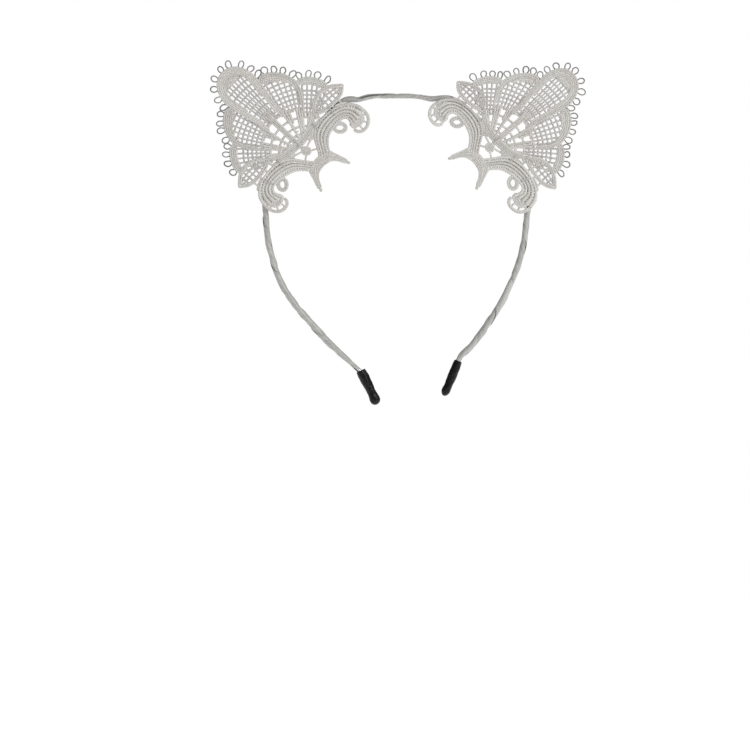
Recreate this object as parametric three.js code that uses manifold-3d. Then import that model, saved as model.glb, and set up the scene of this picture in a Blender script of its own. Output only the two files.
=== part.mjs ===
// Lace cat-ear headband, worn upright on a head.
//
// A flat spring-steel strip is bent into an open U, wound with satin ribbon and finished with a
// moulded rubber cap on each end. Two stiff guipure-lace ears lie against the front of the band and
// are tacked to it with loops of sewing thread.
//
// Millimetres, +Z up, front towards -Y. The origin is the middle of the crown's flat underside,
// where the band rests on the head. The strip and its ribbon are one piece each on the real band;
// here they part at two flex points beside the crown, so that each side can swing open.

import * as THREE from "three";
import { mergeVertices } from "three/addons/utils/BufferGeometryUtils.js";
import Module from "manifold-3d";

const wasm = await Module();
wasm.setup();

// ---------- driving dimensions ----------

const STRIP = { radial: 1.2, depth: 3.0 }; // steel strip: thickness towards the head, and front to back
const CLEAR = 0.3; // free gap between pieces that touch on the real object
const RIBBON = { radial: 3.0, depth: 4.6, chamfer: 0.8 }; // outer section of the ribbon winding
const CROWN_HALF = 6.0; // half the length of the crown piece between the two flex points
const FLEX_GAP = 0.5; // free gap at each flex point
const BAND_Z = RIBBON.radial / 2; // height of the band's line above the head at the crown
const BAND_STEPS = 42; // stations along one side of the band

// The band's line from the flex point down each side, [x, z]. The last two points run straight
// into the cap. The two sides differ a little, as a bent and handled band does.
const LEFT_LINE = [
  [-13, 1.1], [-18, -0.1], [-24, -0.4], [-29, -3.6], [-38, -12.4], [-48, -22.0], [-57, -32.6],
  [-61.8, -41], [-62.8, -50], [-62.2, -61], [-59.8, -75], [-53.8, -90.6], [-43.3, -104.9],
  [-29.6, -119.4], [-20.6, -127.4], [-16.4, -131.5], [-13.3, -137.8],
];
const RIGHT_LINE = [
  [12, 1.0], [17, 0.3], [24, 0.5], [30.5, -2.2], [39.5, -10.2], [49.4, -20.4], [58.4, -31.8],
  [62.8, -41], [63.4, -50], [62.4, -60], [60.4, -74], [54.5, -89.6], [46.2, -104.6],
  [35.6, -119.0], [31.2, -123.4], [29.3, -127.0], [26.6, -133.4],
];

const CAP = {
  length: 18.2, // over the rounded end
  grip: 8.5, // how far the band reaches into it
  mouth: 2.4, // half-width at the open end
  waist: 1.95, // half-width at the neck beyond the band
  bulb: 2.5, // half-width near the rounded end
  flatness: 1.35, // depth, front to back, over that width
};

const LACE = { thick: 1.2, net: 0.5, bar: 0.55 }; // cord thickness, net thickness, net bar width
const LACE_BACK = -(RIBBON.depth / 2 + CLEAR); // y of the lace's back face
const THREAD = 0.5; // diameter of the sewing thread
const SMALLEST = 0.03; // detail below this size is left out of the lace

// Each ear's point of growth [x, z], how far its axis leans out from upright,
// and the share of full height that it reaches.
const EARS = {
  left: { x: -38.4, z: -30.6, lean: 44.7, reach: 1, mirror: false, line: LEFT_LINE },
  right: { x: 39.5, z: -28.0, lean: 47.4, reach: 0.97, mirror: true, line: RIGHT_LINE },
};

const MATERIALS = {
  steel: new THREE.MeshStandardMaterial({ color: 0xb4b6ba, roughness: 0.35, metalness: 1 }),
  ribbon: new THREE.MeshStandardMaterial({ color: 0xb9b6b0, roughness: 0.55, metalness: 0 }),
  lace: new THREE.MeshStandardMaterial({ color: 0xcfcbc5, roughness: 0.9, metalness: 0 }),
  rubber: new THREE.MeshStandardMaterial({ color: 0x17181a, roughness: 0.45, metalness: 0 }),
  thread: new THREE.MeshStandardMaterial({ color: 0xd8d5cf, roughness: 0.8, metalness: 0 }),
};

const SIDES = [-1, 1];
const rad = THREE.MathUtils.degToRad;

// ---------- solids: joining and cutting ----------

/** A closed geometry as a solid that can be joined and cut. */
function solid(geometry, matrix = new THREE.Matrix4()) {
  const bare = new THREE.BufferGeometry();
  bare.setAttribute("position", geometry.getAttribute("position").clone());
  if (geometry.index) bare.setIndex(geometry.index.clone());
  bare.applyMatrix4(matrix);
  const merged = mergeVertices(bare, 1e-4);
  return new wasm.Manifold(
    new wasm.Mesh({
      numProp: 3,
      vertProperties: new Float32Array(merged.getAttribute("position").array),
      triVerts: new Uint32Array(merged.index.array),
    }),
  );
}

/** A solid's surface as a geometry. */
function geometryOf(made) {
  const mesh = made.getMesh();
  const geometry = new THREE.BufferGeometry();
  geometry.setAttribute("position", new THREE.BufferAttribute(mesh.vertProperties, 3));
  geometry.setIndex(new THREE.BufferAttribute(mesh.triVerts, 1));
  geometry.computeVertexNormals();
  return geometry;
}

function joined(solids) {
  return solids.reduce((all, next) => all.add(next));
}

function named(name, geometry, material) {
  const mesh = new THREE.Mesh(geometry, material);
  mesh.name = name;
  return mesh;
}

// ---------- the band ----------

/** A rectangle with cut corners: depth runs front to back, radial towards the head. */
function bandSection({ radial, depth, chamfer = 0 }) {
  const [d, r] = [depth / 2, radial / 2];
  const shape = new THREE.Shape();
  if (!chamfer) {
    shape.moveTo(-d, -r).lineTo(d, -r).lineTo(d, r).lineTo(-d, r).closePath();
    return shape;
  }
  shape.moveTo(-d + chamfer, -r).lineTo(d - chamfer, -r).lineTo(d, -r + chamfer);
  shape.lineTo(d, r - chamfer).lineTo(d - chamfer, r).lineTo(-d + chamfer, r);
  shape.lineTo(-d, r - chamfer).lineTo(-d, -r + chamfer).closePath();
  return shape;
}

/** The ribbon winding: the outer section with a slot that leaves the strip its clearance. */
function windingSection() {
  const shape = bandSection(RIBBON);
  const slot = bandSection({ radial: STRIP.radial + 2 * CLEAR, depth: STRIP.depth + 2 * CLEAR });
  shape.holes.push(new THREE.Path(slot.getPoints().reverse()));
  return shape;
}

function sideCurve(line) {
  const side = Math.sign(line[0][0]);
  const start = CROWN_HALF + FLEX_GAP;
  const points = [[side * start, BAND_Z], ...line];
  return new THREE.CatmullRomCurve3(
    points.map(([x, z]) => new THREE.Vector3(x, 0, z)),
    false,
    "centripetal",
  );
}

function swept(section, curve, steps) {
  return new THREE.ExtrudeGeometry(section, {
    steps,
    extrudePath: curve,
    bevelEnabled: false,
    curveSegments: 4,
  });
}

/** The part of a curve between two shares of its length, as a curve of its own. */
function stretch(curve, from, to, count) {
  const points = [];
  for (let i = 0; i <= count; i++) {
    points.push(curve.getPointAt(from + ((to - from) * i) / count));
  }
  return new THREE.CatmullRomCurve3(points, false, "centripetal");
}

function crownPieces() {
  const lay = new THREE.Matrix4().makeBasis(
    new THREE.Vector3(0, 1, 0),
    new THREE.Vector3(0, 0, 1),
    new THREE.Vector3(1, 0, 0),
  );
  lay.setPosition(-CROWN_HALF, 0, BAND_Z);
  const straight = (section) =>
    new THREE.ExtrudeGeometry(section, { depth: 2 * CROWN_HALF, bevelEnabled: false }).applyMatrix4(lay);
  return [
    named("crown_strip", straight(bandSection(STRIP)), MATERIALS.steel),
    named("crown_ribbon", straight(windingSection()), MATERIALS.ribbon),
  ];
}

function bandSide(side, line) {
  const curve = sideCurve(line);
  return [
    named(`${side}_strip`, swept(bandSection(STRIP), curve, BAND_STEPS), MATERIALS.steel),
    named(`${side}_ribbon`, swept(windingSection(), curve, BAND_STEPS), MATERIALS.ribbon),
  ];
}

/** A rubber cap pushed over the band's end, its outside turned and flattened front to back. */
function endCap(side, line) {
  const [px, pz] = line.at(-2);
  const [ex, ez] = line.at(-1);
  const axis = new THREE.Vector3(ex - px, 0, ez - pz).normalize();
  const open = new THREE.Vector3(ex, 0, ez).addScaledVector(axis, -CAP.grip);

  const { length, mouth, waist, bulb } = CAP;
  const profile = new THREE.SplineCurve([
    new THREE.Vector2(mouth - 0.25, 0),
    new THREE.Vector2(mouth, 0.7),
    new THREE.Vector2(mouth, length * 0.42),
    new THREE.Vector2(waist, length * 0.63),
    new THREE.Vector2(bulb, length * 0.84),
    new THREE.Vector2(bulb * 0.78, length * 0.95),
    new THREE.Vector2(0, length),
  ]);
  const outline = [new THREE.Vector2(0, 0), ...profile.getPoints(11)];
  outline[outline.length - 1].x = 0;
  const body = new THREE.LatheGeometry(outline, 16);
  const frame = new THREE.Matrix4().makeBasis(
    new THREE.Vector3().crossVectors(axis, new THREE.Vector3(0, 1, 0)),
    axis,
    new THREE.Vector3(0, 1, 0),
  );
  frame.setPosition(open);
  frame.scale(new THREE.Vector3(1, 1, CAP.flatness));

  const socketSection = bandSection({
    radial: RIBBON.radial + 2 * CLEAR,
    depth: RIBBON.depth + 2 * CLEAR,
    chamfer: RIBBON.chamfer,
  });
  const curve = sideCurve(line);
  const total = curve.getLength();
  const within = stretch(curve, 1 - (CAP.grip + 4) / total, 1, 5);
  within.points.push(within.points.at(-1).clone().addScaledVector(axis, CLEAR));
  within.updateArcLengths();
  const socket = solid(swept(socketSection, within, 7));
  return named(`${side}_cap`, geometryOf(solid(body, frame).subtract(socket)), MATERIALS.rubber);
}

// ---------- the lace ear ----------
// Drawn in its own plane: x across, y along its axis from the point of growth.

const FAN = {
  base: 12.3, // radius of the fan's inner edge
  hub: 31, // radius where the petals begin
  spread: 41, // half-angle of the hub
};
const TIP_PETAL = { centre: 51.6, half: 9.2, top: 62.4, foot: 27 }; // the tall petal on the axis
const SIDE_PETALS = [
  { x: 10.4, y: 36.6, radius: 11.7 },
  { x: 20.3, y: 27.6, radius: 9.0 },
];
const LEAF = { root: [12.5, 16.8], tip: [35.8, 18.4], bulge: 5.2 }; // pointed leaf beside the fan
const HUMP = { x: 15.7, y: -2.8 }; // centre that the arm's cords run around
const MEDALLION = { y: 8.1, radius: 2.2 };
// Edge loops: outer radius, width of the thread, and how far out their middles sit.
const PICOT = { radius: 1.9, thread: 0.62, out: 1.35 };

const ARM_OUTLINE = [
  [0.5, 4.6], [5.0, 8.9], [10.6, 12.4], [17.2, 13.7], [23.8, 12.9], [29.4, 10.2], [33.4, 6.2],
  [35.0, 1.8], [34.0, -2.6], [30.6, -5.6], [26.4, -5.8], [23.5, -3.9], [22.7, -1.1], [20.9, -0.7],
  [18.7, -0.4], [17.0, 1.4], [16.6, 3.8], [15.0, 5.6], [11.6, 4.4], [8.6, 1.8], [7.2, -1.0],
  [3.0, -1.6],
];
const HORN_OUTLINE = [
  [-0.5, 2.2], [-0.5, -3.0], [3.6, -3.1], [6.4, -4.8], [7.7, -8.0], [8.1, -10.9], [9.3, -12.0],
  [10.5, -10.9], [10.0, -7.4], [8.9, -3.4], [7.6, 0.4], [4.4, 2.6],
];

function pointAt(radius, degrees) {
  return [radius * Math.sin(rad(degrees)), radius * Math.cos(rad(degrees))];
}

/** A closed outline through points, smoothed. */
function blob(points, divisions) {
  const curve = new THREE.CatmullRomCurve3(
    points.map(([x, y]) => new THREE.Vector3(x, y, 0)),
    true,
    "centripetal",
  );
  const smooth = curve.getPoints(divisions).slice(0, -1);
  return new THREE.Shape(smooth.map((p) => new THREE.Vector2(p.x, p.y)));
}

function mirrored(shape, side) {
  if (side > 0) return shape;
  const flipped = (path) => path.getPoints(5).map((p) => new THREE.Vector2(-p.x, p.y)).reverse();
  return new THREE.Shape(flipped(shape));
}

/** A flat piece of lace of the given thickness, centred in the cords' thickness. */
function slab(shape, thick = LACE.thick, segments = 5) {
  const made = new THREE.ExtrudeGeometry(shape, {
    depth: thick,
    bevelEnabled: false,
    curveSegments: segments,
  });
  made.translate(0, 0, (LACE.thick - thick) / 2);
  return solid(made);
}

/** A straight bar between two points, of the given width. */
function bar([x1, y1], [x2, y2], width, thick) {
  const across = new THREE.Vector2(y1 - y2, x2 - x1).setLength(width / 2);
  const shape = new THREE.Shape([
    new THREE.Vector2(x1 - across.x, y1 - across.y),
    new THREE.Vector2(x2 - across.x, y2 - across.y),
    new THREE.Vector2(x2 + across.x, y2 + across.y),
    new THREE.Vector2(x1 + across.x, y1 + across.y),
  ]);
  return slab(shape, thick);
}

function circle(x, y, radius) {
  const shape = new THREE.Shape();
  shape.absarc(x, y, radius, 0, 2 * Math.PI, false);
  return shape;
}

function hexagon(x, y, radius) {
  const corners = Array.from({ length: 6 }, (_, i) => pointAt(radius, 60 * i));
  return new THREE.Path(corners.map(([cx, cy]) => new THREE.Vector2(x + cx, y + cy)));
}

/** A pointed leaf between two points, bulging by the same amount on both sides. */
function vesica([x1, y1], [x2, y2], bulge) {
  const middle = new THREE.Vector2((x1 + x2) / 2, (y1 + y2) / 2);
  const out = new THREE.Vector2(y1 - y2, x2 - x1).setLength(2 * bulge);
  const shape = new THREE.Shape();
  shape.moveTo(x1, y1);
  shape.quadraticCurveTo(middle.x - out.x, middle.y - out.y, x2, y2);
  shape.quadraticCurveTo(middle.x + out.x, middle.y + out.y, x1, y1);
  return shape;
}

function tipPetal(inset, top) {
  const { centre, half, foot } = TIP_PETAL;
  const r = half - inset;
  const shape = new THREE.Shape();
  shape.moveTo(0, foot + 1.3 * inset);
  shape.bezierCurveTo(5.4 - inset, 34, r, 42, r, centre);
  shape.absellipse(0, centre, r, TIP_PETAL.top - top - centre, 0, Math.PI, false, 0);
  shape.bezierCurveTo(-r, 42, -5.4 + inset, 34, 0, foot + 1.3 * inset);
  return shape;
}

function hubShape() {
  const shape = new THREE.Shape();
  const [from, to] = [rad(90 - FAN.spread), rad(90 + FAN.spread)];
  shape.absarc(0, 0, FAN.hub, from, to, false);
  shape.absarc(0, 0, FAN.base, to, from, true);
  return shape;
}

/** The openings behind the net in the two side petals. */
const PETAL_WINDOWS = [
  [
    [9.9, 43.6], [14.2, 44.0], [17.7, 40.9], [18.2, 37.0],
    [15.6, 32.4], [11.4, 29.6], [7.6, 31.6], [8.6, 38.0],
  ],
  [
    [20.2, 33.4], [24.0, 32.9], [26.6, 29.6], [26.6, 25.6],
    [21.6, 24.4], [16.4, 25.2], [17.4, 29.8],
  ],
];

/** Bars of net across a window: some running out from the hub and some across them. */
function netBars(side, along, across) {
  const thin = (a, b) => bar(a, b, LACE.bar, LACE.net);
  const outwards = along.map(([degrees, from, to]) =>
    thin(pointAt(from, side * degrees), pointAt(to, side * degrees)),
  );
  const crossing = across.map(([radius, from, to]) =>
    thin(pointAt(radius, side * from), pointAt(radius, side * to)),
  );
  return [...outwards, ...crossing];
}

/** Rows of small openings in the hub, between its ribs: each opening's radius, width and length. */
function ladderHoles(side) {
  const rows = [
    { degrees: 6.6, holes: [[17.6, 1.5, 2.2], [22.0, 2.0, 2.8], [26.7, 2.5, 3.2]] },
    { degrees: 20.5, holes: [[18.2, 1.1, 1.8], [21.6, 1.3, 2.0], [25.2, 1.4, 2.2]] },
    { degrees: 34, holes: [[18.6, 1.1, 1.8], [22.2, 1.3, 2.0]] },
  ];
  return rows.flatMap(({ degrees, holes }) =>
    holes.map(([radius, width, length]) => {
      const near = pointAt(radius - length / 2, side * degrees);
      const far = pointAt(radius + length / 2, side * degrees);
      return bar(near, far, width, 3 * LACE.thick);
    }),
  );
}

/** A narrow slot that follows the arm's cords around the hump's centre. */
function armSlot(radius, width, from, to) {
  const shape = new THREE.Shape();
  shape.absarc(HUMP.x, HUMP.y, radius + width / 2, rad(from), rad(to), false);
  shape.absarc(HUMP.x, HUMP.y, radius - width / 2, rad(to), rad(from), true);
  return shape;
}

function armHoles(side) {
  const cut = (shape) => slab(mirrored(shape, side), 3 * LACE.thick);
  return [
    cut(blob([[19.2, 1.4], [21.2, 1.7], [21.4, 3.4], [19.8, 4.8], [18.4, 3.2]], 8)),
    cut(blob([[23.4, 2.2], [25.4, 3.6], [26.0, 5.2], [24.4, 4.8]], 7)),
    cut(blob([[25.6, -4.0], [28.4, -4.2], [31.2, -2.8], [30.6, -2.1], [28.2, -3.0], [26.0, -2.9]], 9)),
    cut(blob([[32.0, -0.4], [33.4, 1.8], [32.8, 4.4], [31.9, 4.0], [32.0, 1.8]], 8)),
    cut(armSlot(9.9, 0.7, 102, 148)),
    cut(armSlot(12.0, 0.7, 66, 106)),
    cut(armSlot(12.0, 0.7, 112, 156)),
  ];
}

/** Edge loops spaced along an arc: its centre, half-axes, and the angles of its first and last loop. */
function picotRow([x, y], [rx, ry], [first, last], count) {
  return Array.from({ length: count }, (_, i) => {
    const angle = rad(first + ((last - first) * i) / Math.max(1, count - 1));
    const cx = x + (rx + PICOT.out) * Math.cos(angle);
    const cy = y + (ry + PICOT.out) * Math.sin(angle);
    const loop = circle(cx, cy, PICOT.radius);
    loop.holes.push(hexagon(cx, cy, PICOT.radius - PICOT.thread));
    return slab(loop, LACE.net + 0.1, 4);
  });
}

function picots() {
  const [inner, outer] = SIDE_PETALS;
  const { centre, half, top } = TIP_PETAL;
  return [
    ...picotRow([0, centre], [half, top - centre], [-8, 188], 9),
    ...SIDES.flatMap((side) => {
      const turn = (degrees) => (side > 0 ? degrees : 180 - degrees);
      const round = (petal, angles, count) =>
        picotRow([side * petal.x, petal.y], [petal.radius, petal.radius], angles.map(turn), count);
      return [...round(inner, [78, 14], 4), ...round(outer, [58, -12], 4)];
    }),
  ];
}

/** Where the tacks hold the ear: distance across the ear from its axis. */
const TACKS = [-23, -12, 0, 12, 23];

/** The band's line in an ear's own plane. */
function bandInEar({ x, z, lean, reach, mirror, line }) {
  const turn = rad(mirror ? -lean : lean);
  const points = sideCurve(line).getSpacedPoints(240);
  return points.map((p) => {
    const [dx, dz] = [p.x - x, p.z - z];
    const across = dx * Math.cos(turn) + dz * Math.sin(turn);
    const along = -dx * Math.sin(turn) + dz * Math.cos(turn);
    return [mirror ? -across : across, along / reach];
  });
}

/** Each tack's place on the band and the band's direction there, in the ear's plane. */
function tackPlaces(ear) {
  const route = bandInEar(ear);
  return TACKS.map((across) => {
    let at = 1;
    for (let i = 1; i < route.length - 1; i++) {
      if (Math.abs(route[i][0] - across) < Math.abs(route[at][0] - across)) at = i;
    }
    const [before, after] = [route[at - 1], route[at + 1]];
    const along = new THREE.Vector2(after[0] - before[0], after[1] - before[1]);
    return { x: route[at][0], y: route[at][1], along: along.normalize() };
  });
}

/** Half the span of a tack's loop across the band. */
const TACK_REACH = RIBBON.radial / 2 + CLEAR + THREAD / 2;

function needleHoles(ear) {
  const size = THREAD + 2 * CLEAR + 0.1;
  return tackPlaces(ear).flatMap(({ x, y, along }) =>
    SIDES.map((side) => {
      const [cx, cy] = [x - side * along.y * TACK_REACH, y + side * along.x * TACK_REACH];
      const half = along.clone().multiplyScalar(size / 2);
      return bar([cx - half.x, cy - half.y], [cx + half.x, cy + half.y], size, 3 * LACE.thick);
    }),
  );
}

function laceEar(side, ear) {
  const leaf = (bulge, trim) => {
    const [root, tip] = [LEAF.root, LEAF.tip];
    return vesica([root[0] + trim, root[1]], [tip[0] - 1.3 * trim, tip[1]], bulge);
  };
  const bothSides = (make) => SIDES.flatMap(make);
  const plates = [
    slab(hubShape(), LACE.thick, 16),
    slab(tipPetal(0, 0)),
    slab(circle(0, MEDALLION.y, MEDALLION.radius)),
    bar([0, MEDALLION.y], [0, FAN.base + 0.4], 1.0, LACE.thick),
    ...bothSides((s) => [
      ...SIDE_PETALS.map((p) => slab(circle(s * p.x, p.y, p.radius), LACE.thick, 10)),
      slab(mirrored(leaf(LEAF.bulge, 0), s)),
      slab(mirrored(blob(ARM_OUTLINE, 44), s)),
      slab(mirrored(blob(HORN_OUTLINE, 24), s)),
      bar([0, MEDALLION.y], [s * 6.4, 8.9], 0.9, LACE.thick),
      bar([0, MEDALLION.y], [s * 4.4, 3.6], 0.9, LACE.thick),
      bar([s * 17.5, 12.6], [s * 18.0, 17.5], 0.9, LACE.thick),
      bar([s * 26.0, 12.0], [s * 27.0, 15.6], 0.9, LACE.thick),
      bar([s * 9.0, 10.6], [s * 10.5, 14.0], 2.4, LACE.thick),
    ]),
  ];
  const windows = [
    slab(tipPetal(3.6, 5.4), 3 * LACE.thick),
    ...bothSides((s) => [
      ...PETAL_WINDOWS.map((outline) => slab(mirrored(blob(outline, 16), s), 3 * LACE.thick)),
      slab(mirrored(leaf(LEAF.bulge - 2.1, 3.4), s), 3 * LACE.thick),
      ...ladderHoles(s),
      ...armHoles(s),
    ]),
  ];
  const net = bothSides((s) => [
    ...netBars(s, [[2.2, 34, 58.5], [5.0, 38, 54]], [[38, 0, 7], [44, 0, 8], [50, 0, 8]]),
    ...netBars(s, [[16.5, 30, 47], [21, 30, 46]], [[34, 11, 26], [38.5, 10.5, 26.5]]),
    ...netBars(s, [[35, 29, 40], [41, 29, 39]], [[33, 30, 46.5]]),
    bar([s * 22.2, 14.6], [s * 22.2, 21.8], LACE.bar, LACE.net),
    bar([s * 26.6, 14.8], [s * 26.6, 21.6], LACE.bar, LACE.net),
    bar([s * 16.5, 17.5], [s * 31, 18.3], LACE.bar, LACE.net),
  ]);
  // The net and the edge loops are thinner than the cords, and join them once the windows are open.
  const plate = joined(plates).subtract(joined(windows)).add(joined([...net, ...picots()]));
  const sewn = plate.subtract(joined(needleHoles(ear))).simplify(SMALLEST);
  return named(`${side}_ear_lace`, geometryOf(sewn), MATERIALS.lace);
}

/** One loop of sewing thread round the band and through the lace. */
function tack(name, { x, y, along }) {
  const out = new THREE.Vector3(-along.y, along.x, 0);
  const back = -(RIBBON.depth + 2 * CLEAR + THREAD / 2); // behind the band, in the ear's own plane
  const front = LACE.thick + CLEAR + THREAD / 2;
  const corner = 0.7;
  const corners = [
    [-1, back, 0, corner], [-1, back, corner, 0], [-1, front, -corner, 0], [-1, front, 0, corner],
    [1, front, 0, -corner], [1, front, -corner, 0], [1, back, corner, 0], [1, back, 0, -corner],
  ];
  const points = corners.map(([side, depth, dz, dx]) =>
    new THREE.Vector3(x, y, depth + dz).addScaledVector(out, side * TACK_REACH + dx),
  );
  const curve = new THREE.CatmullRomCurve3(points, true, "centripetal");
  return named(name, new THREE.TubeGeometry(curve, 18, THREAD / 2, 5, true), MATERIALS.thread);
}

function ear(side) {
  const place = EARS[side];
  const group = new THREE.Group();
  group.add(laceEar(side, place));
  tackPlaces(place).forEach((spot, i) => group.add(tack(`${side}_tack_${i + 1}`, spot)));
  group.rotation.x = Math.PI / 2;
  group.scale.set(place.mirror ? -1 : 1, place.reach, 1);
  const stand = new THREE.Group();
  stand.position.set(place.x, LACE_BACK, place.z);
  stand.rotation.y = rad(place.mirror ? place.lean : -place.lean);
  stand.add(group);
  return stand;
}

// ---------- the whole headband ----------

const headband = new THREE.Group();
headband.add(...crownPieces());
for (const side of ["left", "right"]) {
  const { line } = EARS[side];
  headband.add(...bandSide(side, line), endCap(side, line), ear(side));
}

export default headband;
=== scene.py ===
import math

import bpy
import numpy as np
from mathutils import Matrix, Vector


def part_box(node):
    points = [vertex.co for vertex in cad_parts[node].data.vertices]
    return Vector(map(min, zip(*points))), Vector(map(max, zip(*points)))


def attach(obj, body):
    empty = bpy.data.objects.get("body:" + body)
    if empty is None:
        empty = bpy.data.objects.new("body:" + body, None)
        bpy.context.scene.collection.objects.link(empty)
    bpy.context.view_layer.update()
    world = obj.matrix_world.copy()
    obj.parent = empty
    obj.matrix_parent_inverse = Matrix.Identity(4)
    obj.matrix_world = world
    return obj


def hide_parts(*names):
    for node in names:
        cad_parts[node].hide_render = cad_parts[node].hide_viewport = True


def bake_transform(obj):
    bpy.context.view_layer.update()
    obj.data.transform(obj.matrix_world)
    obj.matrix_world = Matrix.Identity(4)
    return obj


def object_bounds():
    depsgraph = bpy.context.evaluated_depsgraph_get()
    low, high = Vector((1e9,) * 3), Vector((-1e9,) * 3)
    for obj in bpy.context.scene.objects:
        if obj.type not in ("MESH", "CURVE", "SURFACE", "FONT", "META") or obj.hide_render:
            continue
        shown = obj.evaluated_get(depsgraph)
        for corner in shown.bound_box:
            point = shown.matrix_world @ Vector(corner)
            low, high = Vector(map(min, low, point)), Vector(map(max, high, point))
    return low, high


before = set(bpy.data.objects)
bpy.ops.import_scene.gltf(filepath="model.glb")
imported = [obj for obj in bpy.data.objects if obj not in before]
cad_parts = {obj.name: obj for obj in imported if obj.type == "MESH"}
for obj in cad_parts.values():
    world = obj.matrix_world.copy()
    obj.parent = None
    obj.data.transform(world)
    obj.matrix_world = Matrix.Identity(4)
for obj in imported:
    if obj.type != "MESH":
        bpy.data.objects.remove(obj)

CAD_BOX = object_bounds()
MM = 0.001

# ---------- camera ----------

FILLS = 0.492  # share of the picture's width that the headband takes up
AIM_LEFT, AIM_DOWN = 0.061, 0.856  # the camera's aim from the headband's top middle, in its widths
DISTANCE = 2.6
SENSOR = 36


def make_camera():
    """A long lens level with the headband, square on to its front."""
    low, high = (Vector(c) for c in CAD_BOX)
    across = high.x - low.x
    view = across / FILLS
    x = (low.x + high.x) / 2 - AIM_LEFT * across
    z = high.z - AIM_DOWN * across
    data = bpy.data.cameras.new("camera")
    data.sensor_width = SENSOR
    data.lens = SENSOR * DISTANCE / view
    camera = bpy.data.objects.new("camera", data)
    camera.location = (x, -DISTANCE, z)
    camera.rotation_euler = (math.pi / 2, 0, 0)
    bpy.context.collection.objects.link(camera)
    bpy.context.scene.camera = camera


make_camera()

# ---------- threads: swept tubes joined in one mesh ----------

STEP = 0.3  # usual distance between the points of a cord's path, in mm
NET_STEP = 0.35
WAVER = 0.05  # how much a thread's thickness wanders along it, as a share


def smooth_path(points, closed=False, step=STEP):
    """Points about step apart along a smooth curve through the given points."""
    p = np.asarray(points, float)
    if p.shape[1] == 2:
        p = np.column_stack([p, np.zeros(len(p))])
    n = len(p)
    out = []
    for i in range(n if closed else n - 1):
        b, c = p[i], p[(i + 1) % n]
        a = p[i - 1] if i or closed else 2 * b - c
        d = p[(i + 2) % n] if i + 2 < n or closed else 2 * c - b
        span = np.linalg.norm(c - b)
        leave = ((c - b) + (b - a) * span / max(np.linalg.norm(b - a), 1e-6)) / 2
        arrive = ((c - b) + (d - c) * span / max(np.linalg.norm(d - c), 1e-6)) / 2
        t = np.linspace(0, 1, max(2, int(span / step) + 1), endpoint=False)[:, None]
        start, end = 2 * t**3 - 3 * t**2 + 1, 3 * t**2 - 2 * t**3
        out.append(start * b + (t**3 - 2 * t**2 + t) * leave + end * c + (t**3 - t**2) * arrive)
    if not closed:
        out.append(p[-1:])
    return resample(np.vstack(out), step, closed)


def resample(line, step, closed=False):
    """The path again, with its points evenly spaced."""
    run = np.vstack([line, line[:1]]) if closed else line
    along = np.concatenate([[0], np.cumsum(np.linalg.norm(np.diff(run, axis=0), axis=1))])
    count = max(3, int(round(along[-1] / step)))
    at = np.linspace(0, along[-1], count, endpoint=not closed)
    return np.stack([np.interp(at, along, run[:, k]) for k in range(3)], axis=1)


def offset(line, distance):
    """The path moved sideways in its own plane: to its left for a positive distance."""
    t = np.gradient(line, axis=0)
    t /= np.maximum(np.linalg.norm(t, axis=1)[:, None], 1e-9)
    moved = line.copy()
    moved[:, 0] -= t[:, 1] * distance
    moved[:, 1] += t[:, 0] * distance
    return moved


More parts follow.
